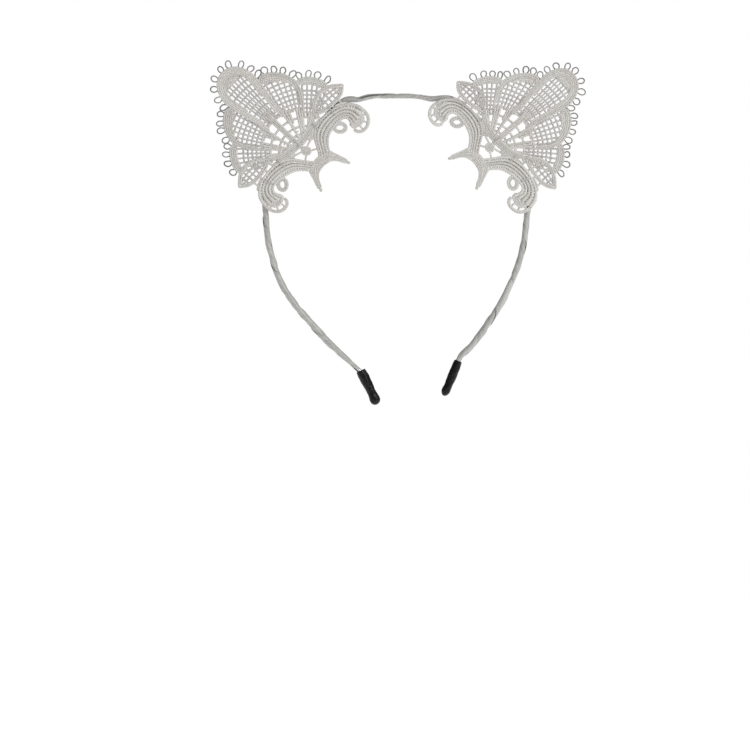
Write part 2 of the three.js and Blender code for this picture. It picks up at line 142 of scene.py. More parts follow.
class Threads:
    """Collects tubes in a flat design plane: x across, y up and z towards the viewer, in mm."""

    def __init__(self, sides=6):
        self.sides = sides
        self.points, self.faces, self.along = [], [], []
        self.count = 0

    def add(self, line, radius, closed=False, bead=0.0, pitch=1.15, up=None):
        """A tube along a path. bead swells it every pitch mm, as wrapped stitches do."""
        line = np.asarray(line, float)
        n, m = len(line), self.sides
        beyond = line[:1] if closed else line[-1:]
        step = np.linalg.norm(np.diff(line, axis=0, append=beyond), axis=1)
        s = np.concatenate([[0], np.cumsum(step)[:-1]])
        r = np.broadcast_to(np.asarray(radius, float), (n,)).copy()
        phase = rng.random() * 6.28
        if bead:
            waves = max(1, round(s[-1] / pitch)) / max(s[-1], 1e-6)
            r *= 1 + bead * np.sin(2 * math.pi * s * waves + phase)
        r *= 1 + WAVER * np.sin(s * 0.9 + phase * 2)
        if closed:
            t = np.roll(line, -1, 0) - np.roll(line, 1, 0)
        else:
            t = np.gradient(line, axis=0)
            ends = np.minimum(s, s[-1] - s)
            r *= np.clip(0.45 + 0.55 * np.sqrt(np.clip(ends / (1.6 * r), 0, 1)), 0, 1)
        t /= np.maximum(np.linalg.norm(t, axis=1)[:, None], 1e-9)
        normal = np.broadcast_to(np.array([0, 0, 1.0]) if up is None else up, t.shape)
        side = np.cross(t, normal)
        side /= np.maximum(np.linalg.norm(side, axis=1)[:, None], 1e-9)
        lift = np.cross(side, t)
        angle = np.arange(m) / m * 2 * math.pi
        ring = (
            line[:, None]
            + r[:, None, None] * np.cos(angle)[None, :, None] * side[:, None]
            + r[:, None, None] * np.sin(angle)[None, :, None] * lift[:, None]
        )
        self.points.append(ring.reshape(-1, 3))
        rows = n if closed else n - 1
        i, j = np.meshgrid(np.arange(rows), np.arange(m), indexing="ij")
        a = i * m + j
        b = i * m + (j + 1) % m
        c = ((i + 1) % n) * m + (j + 1) % m
        d = ((i + 1) % n) * m + j
        self.faces.append(np.stack([a, b, c, d], -1).reshape(-1, 4) + self.count)
        grow = np.concatenate([s, [s[-1] + step[-1]]])
        seed = rng.random()
        u0, u1 = grow[i], grow[i + 1]
        v0, v1 = j / m, (j + 1) / m
        k = np.full(i.shape, seed)
        corner = [np.stack([u, v, k], -1) for u, v in ((u0, v0), (u0, v1), (u1, v1), (u1, v0))]
        self.along.append(np.stack(corner, 2).reshape(-1, 3))
        if not closed:
            self.shut_end(0, 1, s[0], seed)
            self.shut_end(n - 1, -1, s[-1], seed)
        self.count += n * m

    def shut_end(self, row, turn, along, seed):
        """A flat end on the tube being added, from four-sided faces that share a corner."""
        ids = (row * self.sides + np.arange(self.sides))[::-turn] + self.count
        for q in range(1, self.sides - 2, 2):
            self.faces.append(np.array([[ids[0], ids[q], ids[q + 1], ids[q + 2]]]))
            self.along.append(np.tile([along, 0.5, seed], (4, 1)))

    def mesh(self, name, place):
        """One object, its points carried from the design plane by place()."""
        points = place(np.vstack(self.points))
        faces = np.vstack(self.faces)
        data = bpy.data.meshes.new(name)
        data.vertices.add(len(points))
        data.vertices.foreach_set("co", points.astype(np.float32).ravel())
        data.loops.add(faces.size)
        data.loops.foreach_set("vertex_index", faces.astype(np.int32).ravel())
        data.polygons.add(len(faces))
        data.polygons.foreach_set("loop_start", np.arange(0, faces.size, 4, dtype=np.int32))
        data.polygons.foreach_set("use_smooth", np.ones(len(faces), bool))
        data.update(calc_edges=True)
        layer = data.attributes.new("thread", "FLOAT_VECTOR", "CORNER")
        layer.data.foreach_set("vector", np.vstack(self.along).astype(np.float32).ravel())
        piece = bpy.data.objects.new(name, data)
        bpy.context.collection.objects.link(piece)
        return piece


# ---------- the lace motif ----------
# Drawn for one half of an ear, in mm: x across from its axis, y along it to the tip at 62.7.
# The two arches meet a little above the origin, and the horns hang below it.

HUB = np.array([0.0, 7.2])  # the fan's threads run out from here
TIP_RIM = [
    (2.0, 13.4), (3.6, 18.0), (4.9, 24.0), (5.6, 29.5), (6.5, 34.5), (7.7, 40.5), (8.8, 46.5),
    (9.3, 51.5), (8.5, 56.0), (6.2, 60.0), (3.2, 62.1), (0, 62.7),
]
SECOND_RIM = [
    (8.4, 47.0), (11.2, 48.7), (14.7, 47.3), (18.1, 43.9), (20.3, 39.6), (21.0, 35.6),
    (19.7, 31.0), (16.6, 26.2), (12.8, 21.8),
]
THIRD_RIM = [(20.5, 34.9), (24.0, 34.2), (27.3, 31.2), (29.4, 27.4), (29.9, 24.2), (28.7, 22.2)]
LEAF_TOP = [(15.4, 17.7), (18.0, 20.9), (21.8, 23.2), (26.3, 23.7), (30.6, 22.2), (35.4, 18.2)]
LEAF_BOTTOM = [(15.4, 17.7), (18.8, 15.9), (23.0, 15.0), (27.6, 14.8), (31.6, 15.5), (35.4, 18.2)]
FAN_BASE = [(0, 12.3), (5, 12.7), (10, 14.0), (14.8, 16.6)]
ARCH_OUT = [
    (1.4, 1.0), (3.4, 3.5), (5.2, 6.2), (7.1, 9.0), (9.6, 11.4), (13.4, 13.0), (18.6, 13.6),
    (23.6, 13.0), (28.0, 11.4), (31.4, 8.6), (33.0, 5.6), (33.2, 2.6),
]
ARCH_IN = [
    (6.0, -1.4), (7.5, 1.0), (9.3, 3.3), (11.8, 5.3), (14.8, 6.5), (18.6, 7.2), (22.3, 7.3),
    (24.9, 6.2), (25.8, 4.2), (25.3, 2.3), (24.6, 1.0), (24.6, -0.4),
]
CURL_RIM = [
    (33.4, 4.8), (33.9, 1.6), (33.1, -1.4), (31.3, -3.5), (28.4, -4.6), (25.7, -4.2),
    (24.2, -2.8), (23.8, -0.8),
]
CURL_CORE = [(23.9, 0.4), (26.0, -0.8), (28.4, -1.3), (30.4, -0.6), (31.6, 1.2), (32.0, 3.8)]
HORN_IN = [(1.6, -2.5), (4.3, -3.5), (6.3, -5.5), (7.8, -8.2), (9.0, -11.2)]
HORN_OUT = [(6.4, 0.4), (7.3, -1.7), (8.5, -4.6), (9.6, -7.7), (10.5, -10.9)]
EDGE = [
    (0, 62.7), (3.2, 62.1), (6.2, 60.0), (8.5, 56.0), (9.3, 51.5), (10.0, 49.3), (12.0, 48.7),
    (14.7, 47.3), (18.1, 43.9), (20.3, 39.7), (21.4, 35.9), (24.0, 34.2), (27.3, 31.2),
    (29.4, 27.4), (30.1, 24.2),
]
MEDALLION = np.array([0.0, 8.0])  # the middle of the boss between the arches and the fan
BUD = np.array([19.8, 4.5])  # the middle of the small ring under each arch
HALF = math.sqrt(0.5)
TURNED = np.array([[HALF, HALF, 0], [HALF, -HALF, 0], [0, 0, 1]])  # leans the ring's long axis by 45 degrees
ARCH_SHARES = (0, 0.25, 0.5, 0.73, 1)  # where the arch's cords lie between its two outlines
HORN_SHARES = (0, 0.25, 0.5, 0.75, 1)
RUNG_STEP = 5  # points between the small rungs inside the innermost cord
MID = 0.6  # the middle of the lace's thickness above its back face

# Radii of the threads, and how strongly their stitches bead.
CORD, RIM, NET_RADIUS, LOOP_RADIUS = 0.56, 0.58, 0.46, 0.31
THINNEST, THICKEST = 0.36, 0.95  # limits for the cords of the arches and horns
ROW = 0.95  # distance between cords that lie side by side
BEAD, FINE_BEAD = 0.14, 0.12

LOOPS_EACH_SIDE = 12
LOOP_SPACING = 4.3
LOOP_WIDE, LOOP_TALL = 1.32, 3.7  # half-width and height of one loop


def at_height(line, height, wave=0.0, length=3.0):
    """The path set at a height, rising and falling by wave as it passes over and under others."""
    line = np.array(line, float)
    if line.shape[1] == 2:
        line = np.column_stack([line, np.zeros(len(line))])
    s = np.concatenate([[0], np.cumsum(np.linalg.norm(np.diff(line[:, :2], axis=0), axis=1))])
    line[:, 2] = height + wave * np.sin(2 * math.pi * s / length + rng.random() * 6.28)
    return line


def flip(line):
    """The same path on the ear's other half."""
    return line * np.array([-1, 1, 1])


def pair(a, b):
    """Two outlines with the same number of points, so that points between them are easy."""
    a, b = smooth_path(a), smooth_path(b)
    share = np.linspace(0, 1, max(len(a), len(b)))

    def spread(p):
        own = np.linspace(0, 1, len(p))
        return np.stack([np.interp(share, own, p[:, k]) for k in range(3)], 1)

    return spread(a), spread(b)


def straight(a, b, step=STEP):
    return resample(np.array([[*a, 0], [*b, 0]], float), step)


def polar(radius, degrees):
    """A point at a distance from the hub, at an angle from straight up."""
    return HUB + radius * np.array([math.sin(math.radians(degrees)), math.cos(math.radians(degrees))])


def arc_of(radius, first, last, centre=HUB, step=STEP):
    """Part of a circle, its angles counted from straight up."""
    count = max(4, int(abs(math.radians(last - first)) * radius / step))
    a = np.radians(np.linspace(first, last, count))
    x = centre[0] + radius * np.sin(a)
    y = centre[1] + radius * np.cos(a)
    return np.column_stack([x, y, np.zeros(count)])


def reach_at(outline, degrees):
    """How far from the hub an outline is, at each angle."""
    line = smooth_path(outline, step=0.4)[:, :2] - HUB
    a = np.degrees(np.arctan2(line[:, 0], line[:, 1]))
    r = np.linalg.norm(line, axis=1)
    order = np.argsort(a)
    return np.interp(degrees, a[order], r[order])


def both(threads, line, radius, height, wave=0.0, length=3.0, **looks):
    """The same thread on both halves of the ear."""
    for turn in (lambda p: p, flip):
        threads.add(turn(at_height(line, height, wave, length)), radius, **looks)


def cords_between(cords, outer, inner, shares, height, full, rounded=0):
    """Cords side by side between two outlines. full is their radius over their spacing, and rounded
    is how many points the outermost ones end short."""
    a, b = pair(outer, inner)
    spacing = np.linalg.norm(a - b, axis=1) * (shares[1] - shares[0])
    for k, share in enumerate(shares):
        radius = np.clip(spacing * full, THINNEST, THICKEST)
        last = len(a) - int(rounded * (2 * share - 1) ** 2)
        line = (a * (1 - share) + b * share)[:last]
        both(cords, line, radius[:last], height - 0.05 * (k % 2), 0.05, bead=0.08)


def zigzag(cords):
    """A thread laid to and fro under each arch's cords, from its outline to its second-last cord."""
    a, b = pair(ARCH_OUT, ARCH_IN)
    b = a * (1 - ARCH_SHARES[-2]) + b * ARCH_SHARES[-2]
    length = np.linalg.norm(np.diff(a, axis=0), axis=1).sum()
    pitch, inset = 0.8, 0.06
    line = []
    for k, i in enumerate(np.linspace(2, len(a) - 3, int(length / pitch)).astype(int)):
        near, far = (a[i], b[i]) if k % 2 else (b[i], a[i])
        line.append(near * (1 - inset) + far * inset)
    both(cords, smooth_path(line, step=0.4), 0.38, MID - 0.12, 0.05, 2.5)


def rim_cords(cords):
    """The rows of cords round the five petals and the two leaves."""
    tip = smooth_path(TIP_RIM)
    whole = resample(np.vstack([tip, flip(tip)[::-1][1:]]), STEP)
    cords.add(at_height(whole, MID + 0.22, 0.04), 0.62, bead=0.15)
    for inset, low in ((0.95, 27.5), (1.9, 31.0), (2.85, 41.0)):
        part = offset(whole, inset)
        cords.add(at_height(part[part[:, 1] > low], MID + 0.2, 0.05), 0.6, bead=BEAD)
    for inset in (3.75, 4.65, 5.5, 6.3):
        part = offset(whole, inset)
        part = part[part[:, 1] > 57.4 - 0.35 * inset]
        if len(part) > 5:
            cords.add(at_height(part, MID + 0.12, 0.05), RIM, bead=0.1)
    second = smooth_path(SECOND_RIM)
    for inset, low in ((0, 21.8), (0.95, 25.0), (1.9, 33.0), (2.85, 37.5), (3.75, 40.5)):
        part = offset(second, -inset)
        both(cords, part[part[:, 1] > low], RIM, MID + 0.12 - 0.03 * inset, 0.05, bead=BEAD)
    third = smooth_path(THIRD_RIM)
    for inset in (0, 0.95, 1.9, 2.85):
        part = offset(third, -inset)
        part = part[3 * int(inset):len(part) - 3 * int(inset)]
        both(cords, part, RIM, MID + 0.08 - 0.03 * inset, 0.05, bead=BEAD)
    for inset in (0, 0.9):
        top = offset(smooth_path(LEAF_TOP), -inset)
        foot = offset(smooth_path(LEAF_BOTTOM), inset)
        cut = int(5 * inset)
        both(cords, top[cut:len(top) - cut], 0.54, MID + 0.16, 0.03, bead=BEAD)
        both(cords, foot[cut:len(foot) - cut], 0.54, MID + 0.16, 0.03, bead=BEAD)


def fan_cords(cords):
    """Close cords from the fan's base to the petals' feet, with rows of small openings between them."""
    base = smooth_path(FAN_BASE)
    for rise in (-ROW, 0, ROW, 1.85):
        line = base + np.array([0, rise, 0])
        whole = resample(np.vstack([flip(line)[::-1], line[1:]]), STEP)
        whole = whole[np.abs(whole[:, 0]) < (8.0 if rise < 0 else 20)]
        cords.add(at_height(whole, MID + 0.18, 0.05), CORD, bead=BEAD)
    for drop in (0.95, 1.8):
        part = base[base[:, 0] > 4.5] - np.array([0, drop, 0])
        both(cords, part[part[:, 0] < 13.6], CORD, MID + 0.1, 0.05, bead=BEAD)
    for x in (-0.9, 0, 0.9):
        middle = smooth_path([(x, 12.6), (x, 20), (x * 1.05, 27), (x * 1.3, 34)])
        cords.add(at_height(middle, MID + 0.1, 0.05), 0.52, bead=FINE_BEAD)
    ribs = (
        (15.6, 17.0, 26.5), (18.9, 12.0, 25.0), (22.1, 15.5, 22.8), (32.2, 9.0, 22.4), (35.6, 13.0, 21.6),
        (38.9, 9.0, 21.4), (48.6, 10.0, 19.8), (52.0, 13.0, 19.8), (55.4, 10.0, 18.6), (58.8, 12.0, 18.0),
    )
    for degrees, start, end in ribs:
        start = max(start, reach_at(FAN_BASE, degrees))
        both(cords, straight(polar(start, degrees), polar(end, degrees)), 0.6, MID, 0.07, 2.6, bead=BEAD)
    for radius, first, last in ((9.5, 0, 36), (13.1, 0, 62), (17.3, 0, 62), (22.0, 0, 42)):
        both(cords, arc_of(radius, first, last), CORD, MID - 0.16, 0.08, 2.4, bead=FINE_BEAD)
    for radius, first, last in ((11.3, 17, 26), (19.6, 44, 60), (21.2, 12, 28), (23.1, 0, 12)):
        both(cords, arc_of(radius, first, last), 0.42, MID - 0.22, 0.08, 2.4, bead=FINE_BEAD)


def arch_cords(cords):
    """The two arches and their horns, with small rungs along each arch's inner edge."""
    cords_between(cords, ARCH_OUT, ARCH_IN, ARCH_SHARES, MID + 0.2, 0.41)
    cords_between(cords, HORN_OUT, HORN_IN, HORN_SHARES, MID + 0.1, 0.64, rounded=6)
    both(cords, straight((9.1, -10.7), (10.4, -10.5)), 0.62, MID + 0.2)
    outer, inner = pair(ARCH_OUT, ARCH_IN)
    for i in range(14, len(outer) - 12, RUNG_STEP):
        a, b = (outer[i] * (1 - s) + inner[i] * s for s in (ARCH_SHARES[-2], 1))
        both(cords, straight(a[:2], b[:2]), 0.36, MID, bead=FINE_BEAD)
    filling = offset(smooth_path(ARCH_OUT), ROW)
    for first, last in ((6.2, 16.2), (25.0, 30.6)):
        part = filling[(filling[:, 0] > first) & (filling[:, 0] < last)]
        both(cords, part, 0.54, MID + 0.1, 0.05, bead=0.13)


def joining_cords(cords):
    """Bowed rows that fill the place where the two arches and their horns meet."""
    for rise, half in ((-2.6, 3.2), (-1.7, 5.2), (-0.8, 6.4), (0.1, 6.6), (1.0, 5.6), (1.6, 3.0)):
        bend = [(-half, rise - 0.5), (0, rise), (half, rise - 0.5)]
        cords.add(at_height(smooth_path(bend), MID + 0.02, 0.05), CORD, bead=FINE_BEAD)


def ring_cords(cords):
    """The small ring under each arch, two cords wide and longer than it is broad."""
    for long, short, thick in ((2.2, 1.55, 0.52), (3.1, 2.4, 0.62)):
        ring = arc_of(1, 0, 360, np.zeros(2), STEP / long)[:-1] * np.array([short, long, 0])
        turned = ring @ TURNED + np.array([*BUD, 0])
        both(cords, turned, thick, MID + 0.05, bead=FINE_BEAD, closed=True)


def curl_rims(cords):
    """The outer turn of each curl."""
    rim = smooth_path(CURL_RIM)
    for inset in (0, 0.55):
        both(cords, offset(rim, -inset), 0.55, MID + 0.1, 0.04, bead=0.17)


def curl_cores(cords):
    """The inner turn of each curl and its ties to the rim."""
    core = smooth_path(CURL_CORE)
    for rise in (0, 0.9, 1.8):
        both(cords, core + np.array([0, rise, 0]), CORD, MID + 0.06, 0.04, bead=BEAD)
    for a, b in (((27.2, -1.2), (27.0, -4.3)), ((29.9, -0.9), (30.9, -3.5)), ((31.5, 1.0), (33.8, 0.6))):
        both(cords, straight(a, b), 0.46, MID, bead=FINE_BEAD)


def stems(cords):
    """Short ties from each arch up to the leaf above it."""
    for x in (12.4, 16.2, 20.2, 24.4, 28.4):
        foot = np.interp(x, *zip(*ARCH_OUT[4:10]))
        top = np.interp(x, *zip(*LEAF_BOTTOM)) if x > 15 else 15.4
        both(cords, straight((x, foot), (x + 0.4, top)), 0.5, MID, bead=FINE_BEAD)


def medallion(cords):
    """The round boss in the gap under the fan, and the threads that hold it."""
    for radius in (0.5, 1.2, 2.0):
        ring = arc_of(radius, 0, 360, MEDALLION)[:-1]
        cords.add(at_height(ring, MID + 0.12), 0.52, closed=True, bead=FINE_BEAD)
    for shift in (-0.4, 0.4):
        cords.add(at_height(straight((shift, 9.6), (shift, 12.2)), MID), 0.55, bead=0.1)
    for a, b in (((1.9, 9.2), (7.2, 10.7)), ((1.5, 6.6), (4.2, 4.9))):
        both(cords, straight(a, b), 0.46, MID, bead=FINE_BEAD)


def net_threads(net):
    """Thin threads across the tip, the four petals beside it and the leaves."""
    for k in (-2.5, -1.5, -0.5, 0.5, 1.5, 2.5):
        foot, top = 0.95 * k, 1.9 * k
        part = top - foot
        line = [(foot, 29.5), (foot + part * 0.35, 38), (foot + part * 0.7, 47), (top, 57.5)]
        net.add(at_height(smooth_path(line, step=NET_STEP), MID, 0.16, 5.6), NET_RADIUS, bead=FINE_BEAD)
    for y in (31.6, 34.4, 37.3, 40.3, 43.3, 46.3, 49.3, 52.3, 55.3):
        half = np.interp(y, [30, 40, 50, 57], [3.4, 5.2, 6.6, 6.4])
        bend = [(-half, y - 0.2), (-half * 0.4, y + 0.35), (half * 0.4, y + 0.35), (half, y - 0.2)]
        net.add(at_height(smooth_path(bend, step=NET_STEP), MID, 0.16, 2.4), NET_RADIUS, bead=FINE_BEAD)
    for degrees in (15.4, 19.6, 23.8, 28.0, 32.2, 36.4):
        a, b = polar(20.6, degrees), polar(reach_at(SECOND_RIM, degrees) - 2.4, degrees)
        both(net, straight(a, b, NET_STEP), NET_RADIUS, MID - 0.05, 0.16, 4.4, bead=FINE_BEAD)
    rows = ((24.3, 39), (26.6, 39), (28.9, 38), (31.2, 37), (33.5, 35), (35.8, 32), (38.1, 28))
    for radius, last in rows:
        both(net, arc_of(radius, 12.8, last), NET_RADIUS, MID - 0.05, 0.16, 2.3, bead=FINE_BEAD)
    for degrees in (41.6, 45.8, 50.0, 54.2, 58.4, 62.0):
        a, b = polar(17.6, degrees), polar(reach_at(THIRD_RIM, min(degrees, 57.0)) - 2.0, degrees)
        both(net, straight(a, b, NET_STEP), NET_RADIUS, MID - 0.08, 0.16, 4.4, bead=FINE_BEAD)
    for radius, last in ((19.7, 62), (21.8, 62), (23.9, 62), (26.0, 61), (28.1, 59), (30.2, 55)):
        both(net, arc_of(radius, 38.5, last), NET_RADIUS, MID - 0.08, 0.16, 2.3, bead=FINE_BEAD)
    top, foot = pair(LEAF_TOP, LEAF_BOTTOM)
    for share in (0.38, 0.62):
        both(net, (top * (1 - share) + foot * share)[6:-8], NET_RADIUS, MID, 0.14, 4.0, bead=FINE_BEAD)
    for x in (18.6, 21.0, 23.4, 25.8, 28.2, 30.6):
        high = np.interp(x, *zip(*LEAF_TOP)) - 0.8
        low = np.interp(x, *zip(*LEAF_BOTTOM)) + 0.8
        both(net, straight((x, low), (x + 0.3, high), NET_STEP), NET_RADIUS, MID, 0.14, 2.2, bead=FINE_BEAD)


def loop_start(k):
    """How far from the tip the k-th loop stands; the ones at the two notches stand a little further on."""
    first_notch = 1.3 * math.exp(-(((k - 5) / 1.3) ** 2))
    second_notch = 0.9 * math.exp(-(((k - 9) / 0.8) ** 2))
    return LOOP_SPACING * k + first_notch + second_notch


def edge_loops(loops):
    """Thin loops of thread along the outer edge, evenly spaced from the tip but for the notches."""
    line = smooth_path(EDGE, step=0.1)
    along = np.concatenate([[0], np.cumsum(np.linalg.norm(np.diff(line, axis=0), axis=1))])
    tangent = np.gradient(line, axis=0)
    for k in range(LOOPS_EACH_SIDE + 1):
        i = int(np.searchsorted(along, min(loop_start(k), along[-1] - 0.4)))
        t = tangent[max(0, i - 9):i + 10].mean(0)[:2]
        t /= np.linalg.norm(t)
        out = np.array([-t[1], t[0]])
        for side in ((1,) if k == 0 else (1, -1)):
            turn = rng.normal(0, 0.12)
            c, s = math.cos(turn), math.sin(turn)
            ahead, away = c * t + s * out, c * out - s * t
            wide = LOOP_WIDE + rng.normal(0, 0.1)
            tall = LOOP_TALL + rng.normal(0, 0.22)
            skew = rng.normal(0, 0.15)
            shape = [
                (-0.45, -0.7), (-0.8, 0.4), (-wide, tall * 0.52), (-wide * 0.72 + skew, tall * 0.87),
                (skew, tall),
                (wide * 0.72 + skew, tall * 0.87), (wide, tall * 0.52), (0.8, 0.4), (0.45, -0.7),
            ]
            loop = np.array([line[i, :2] + a * ahead + b * away for a, b in shape]) * np.array([side, 1])
            loop = at_height(smooth_path(loop, step=0.28), MID, 0.14, 5.0)
            loops.add(loop, LOOP_RADIUS + rng.normal(0, 0.02), bead=0.18, pitch=0.9)


# ---------- where each ear stands ----------

EARS = {
    # lean: degrees from upright; reach: height along the axis, as a share; foot: the motif's origin as
    # shares of the node's box; shift: how far its foot sits to one side, in mm; spread: widths at the
    # curls, the leaves and the petals, as shares, on the positive side and the negative one
    "left": {
        "lean": 44.7, "reach": 1.0, "foot": (0.6602, 0.3358), "shift": 1.5,
        "spread": ((1.01, 1.01, 1.0), (0.94, 0.975, 0.985)), "hand": 1,
    },
    "right": {
        "lean": 47.4, "reach": 0.97, "foot": (0.3300, 0.3590), "shift": -0.5,
        "spread": ((0.98, 0.95, 0.915), (1.03, 1.015, 0.985)), "hand": -1,
    },
}
SPREAD_AT = (0, 20, 40)  # heights along the axis of the three widths
TIP_LEAN = -1.4  # how far the tip bends to one side, in mm


def ear_place(side):
    """Carries the motif's plane to the ear: its node's box in the CAD gives where that is."""
    ear = EARS[side]
    low, high = (np.array(c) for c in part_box(f"{side}_ear_lace"))
    foot = low + (high - low) * np.array([ear["foot"][0], 1, ear["foot"][1]])
    turn = math.radians(ear["lean"])

    def place(points):
        x, y, z = points.T
        widths = [np.interp(y, SPREAD_AT, s) for s in ear["spread"]]
        near = np.clip((14 - y) / 14, 0, 1) * np.clip((18 - np.abs(x)) / 8, 0, 1)  # 1 by the foot
        x = x * np.where(x > 0, *widths) + ear["shift"] * near + TIP_LEAN * np.clip(y / 50, 0, 1) ** 2
        y = y * ear["reach"]
        across = x * math.cos(turn) - y * math.sin(turn)
        rise = x * math.sin(turn) + y * math.cos(turn)
        return foot + np.column_stack([ear["hand"] * across, -z, rise]) * MM

    return place


# ---------- the band ----------
# Its line down each side from the crown, x and z in mm: the CAD band's, to within half a millimetre.

LEFT_LINE = [
    (-13, 1.1), (-18, -0.1), (-24, -0.4), (-28.8, -3.9), (-37.7, -12.7), (-47.8, -22.2),
    (-57, -32.6), (-61.8, -41), (-62.8, -50), (-62.2, -61), (-59.8, -75), (-53.8, -90.6),
    (-43.3, -104.9), (-29.6, -119.4), (-20.6, -127.4), (-16.4, -131.5), (-13.3, -137.8),
]
RIGHT_LINE = [
    (12, 1.0), (17, 0.3), (24, 0.5), (30.5, -2.2), (39.5, -10.2), (49.4, -20.4), (58.4, -31.8),
    (62.8, -41), (63.4, -50), (62.4, -60), (60.4, -74), (54.5, -89.6), (46.2, -104.6),
    (35.6, -119.0), (31.2, -123.4), (29.3, -127.0), (26.6, -133.4),
]
BAND_Z = 1.5  # height of the line over the crown
CROWN_HALF = 6.5
STRIP_HALF, STRIP_HALF_DEPTH = 0.6, 1.5  # the steel strip's half sizes, towards the head and front to back
HALF_DEPTH = 2.1  # half the winding's inner size from front to back
TURN = 19.2  # how far the ribbon moves along the band in one turn
LAP = 5.4  # how far each turn lies over the last
CLOTH = 0.12  # the ribbon's thickness
SKIN, LAP_RISE, PLEAT_RISE = 0.02, 0.22, 0.36  # how far a turn, its lap and its pleat stand out
TUCK_PLACE = 12.0  # how far left of the middle the ribbon has a deep tuck along its upper front edge
TUCK_HALF, TUCK_DEEP = 9.2, 0.3  # half the tuck's length, and its depth
TUCK_ANGLE, TUCK_SPREAD = 1.3, 0.42  # radians from the top towards the front, and to either side


class Band:
    """The band's line as positions, tangents and outward normals at any distance along it, in mm."""

    def __init__(self):
        crown = [(-CROWN_HALF, BAND_Z), (0, BAND_Z), (CROWN_HALF, BAND_Z)]
        points = [*reversed(LEFT_LINE), *crown, *RIGHT_LINE]
        line = smooth_path(points, step=0.5)
        self.line = line[:, :2]
        self.s = np.concatenate([[0], np.cumsum(np.linalg.norm(np.diff(self.line, axis=0), axis=1))])
        t = np.gradient(self.line, axis=0)
        for k in range(2):
            t[:, k] = np.convolve(np.pad(t[:, k], 4, "edge"), np.ones(9) / 9, "valid")
        self.t = t / np.linalg.norm(t, axis=1)[:, None]
        self.length = self.s[-1]
        self.middle = np.interp(0, self.line[:, 0], self.s)

    def at(self, s):
        """The band's points and unit tangents, x and z, at distances along it."""
        p = np.stack([np.interp(s, self.s, self.line[:, k]) for k in range(2)], -1)
        t = np.stack([np.interp(s, self.s, self.t[:, k]) for k in range(2)], -1)
        t /= np.linalg.norm(t, axis=-1, keepdims=True)
        return p, t

    def place(self, s, radial, depth):
        """World points, in metres: radial is away from the head, depth is towards the back."""
        p, t = self.at(s)
        x = p[..., 0] - t[..., 1] * radial
        z = p[..., 1] + t[..., 0] * radial
        return np.stack([x, np.broadcast_to(depth, x.shape), z], -1) * MM


band = Band()


def grid_object(name, points, closed_across=False, corner=None):
    """A smooth sheet from a grid of points, rows by columns."""
    rows, cols = points.shape[:2]
    across = cols if closed_across else cols - 1
    i, j = np.meshgrid(np.arange(rows - 1), np.arange(across), indexing="ij")
    k = (j + 1) % cols
    here, ahead = i * cols, (i + 1) * cols
    faces = np.stack([here + j, here + k, ahead + k, ahead + j], -1).reshape(-1, 4)
    data = bpy.data.meshes.new(name)
    data.from_pydata(points.reshape(-1, 3).tolist(), [], faces.tolist())
    data.polygons.foreach_set("use_smooth", np.ones(len(faces), bool))
    if corner is not None:
        values = [corner[i, j], corner[i, j + 1], corner[i + 1, j + 1], corner[i + 1, j]]
        layer = data.attributes.new("thread", "FLOAT_VECTOR", "CORNER")
        layer.data.foreach_set("vector", np.stack(values, 2).reshape(-1, 3).astype(np.float32).ravel())
    piece = bpy.data.objects.new(name, data)
    bpy.context.collection.objects.link(piece)
    return piece


def superellipse(angle, half_a, half_b, power):
    """A rounded rectangle's outline: the higher the power, the squarer its corners."""
    c, s = np.cos(angle), np.sin(angle)
    r = (np.abs(c / half_a) ** power + np.abs(s / half_b) ** power) ** (-1 / power)
    return r * c, r * s


def half_thickness(s):
    """Half the winding's inner thickness: slim over the crown and where the caps grip it."""
    reach = band.length / 2
    places = (0, 15, 32, reach - 22, reach - 9)
    return np.interp(np.abs(s - band.middle), places, (0.98, 1.02, 1.3, 1.28, 0.95))


def step_down(value, place, width):
    """A smooth step from one to zero at a place."""
    return 1 / (1 + np.exp((value - place) / width))


def creases(whole, c):
    """Pulled creases: c runs across the ribbon, from the edge that shows to the covered one."""
    broad = 0.07 * np.sin(9.5 * math.pi * c + 2.2 * np.sin(whole * 3.7))
    fine = 0.05 * np.sin(23 * c + 5.0 * whole)
    strength = 0.4 + 0.6 * np.sin(whole * 2.3) ** 2
    return (broad + fine) * strength * step_down(c, 0.72, 0.04) * (1 - step_down(c, 0.06, 0.02))


